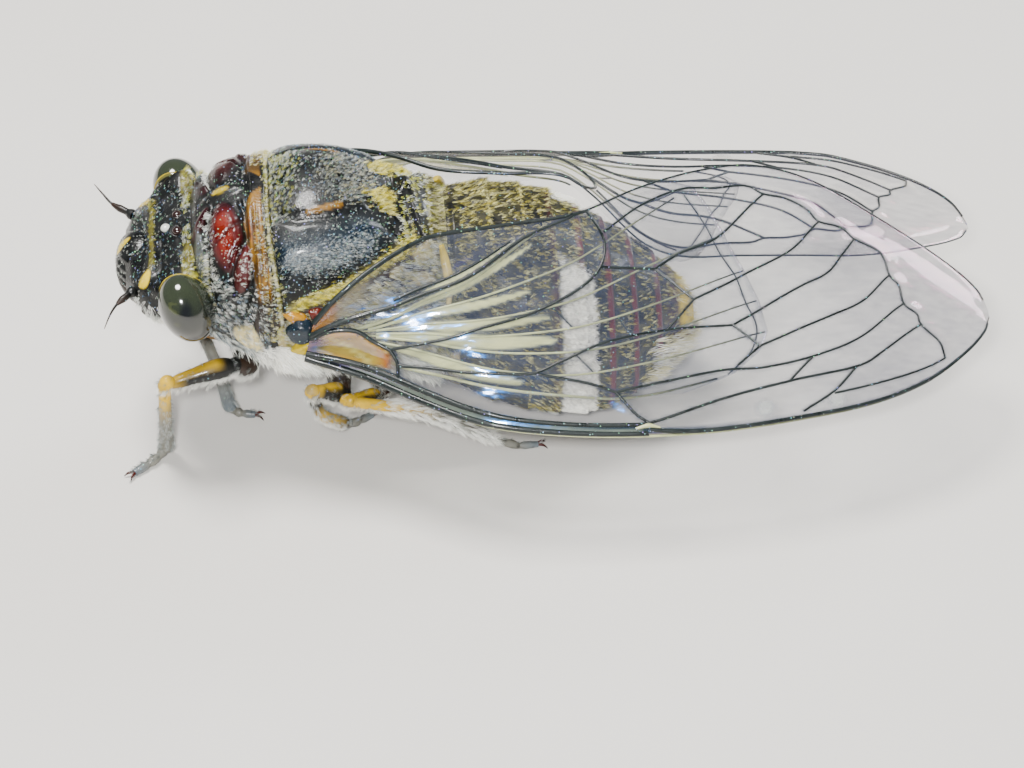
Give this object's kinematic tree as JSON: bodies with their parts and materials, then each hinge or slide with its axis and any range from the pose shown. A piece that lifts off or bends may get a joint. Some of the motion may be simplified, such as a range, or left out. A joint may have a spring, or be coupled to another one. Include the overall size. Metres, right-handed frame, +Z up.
{
  "type": "widehead cicada, life-size still model",
  "caption": "Life-size resting cicada: wide head with bulging eyes, ridged thorax, banded abdomen, bent legs and clear wings folded over the back.",
  "frame": {"origin": "middle of the model's footprint at floor level, where the feet stand", "axes": "+X towards the tail and wing tips, +Y towards the insect's right side, +Z up"},
  "size_m": [0.0564, 0.0272, 0.0189],
  "materials": {
    "black_shell": "glossy black cuticle with fine pile",
    "red_black_shell": "glossy black cuticle with red patches",
    "ochre_shell": "satin ochre and black cuticle",
    "downy_shell": "dark cuticle under golden and white down",
    "olive_eye": "glossy compound eye",
    "yellow_leg": "satin yellow and black cuticle",
    "grey_leg": "grey cuticle with short hairs",
    "wing_film": "clear wing film with dark veins"
  },
  "bodies": {
    "root": {"abdomen_segment_1": "downy_shell", "abdomen_segment_2": "downy_shell", "abdomen_segment_3": "downy_shell", "abdomen_segment_4": "downy_shell", "abdomen_segment_5": "downy_shell", "abdomen_segment_6": "downy_shell", "abdomen_segment_7": "downy_shell", "abdomen_tip": "downy_shell", "anteclypeus": "black_shell", "antenna_left": "black_shell", "antenna_right": "black_shell", "coxa_fore_left": "black_shell", "coxa_fore_right": "black_shell", "coxa_hind_left": "black_shell", "coxa_hind_right": "black_shell", "coxa_mid_left": "black_shell", "coxa_mid_right": "black_shell", "cruciform_elevation": "black_shell", "eye_left": "olive_eye", "eye_right": "olive_eye", "femur_fore_left": "black_shell", "femur_fore_right": "black_shell", "femur_hind_left": "black_shell", "femur_hind_right": "black_shell", "femur_mid_left": "black_shell", "femur_mid_right": "black_shell", "forewing_left": "wing_film", "forewing_right": "wing_film", "head": "black_shell", "hindwing_left": "wing_film", "hindwing_right": "wing_film", "mesonotum": "black_shell", "metanotum": "downy_shell", "postclypeus": "black_shell", "pronotal_collar": "ochre_shell", "pronotum": "red_black_shell", "prosternum": "downy_shell", "rostrum": "black_shell", "tarsus_fore_left": "grey_leg", "tarsus_fore_right": "grey_leg", "tarsus_hind_left": "grey_leg", "tarsus_hind_right": "grey_leg", "tarsus_mid_left": "grey_leg", "tarsus_mid_right": "grey_leg", "thorax_side": "downy_shell", "tibia_fore_left": "yellow_leg", "tibia_fore_right": "yellow_leg", "tibia_hind_left": "yellow_leg", "tibia_hind_right": "yellow_leg", "tibia_mid_left": "yellow_leg", "tibia_mid_right": "yellow_leg"}
  },
  "joints": []
}
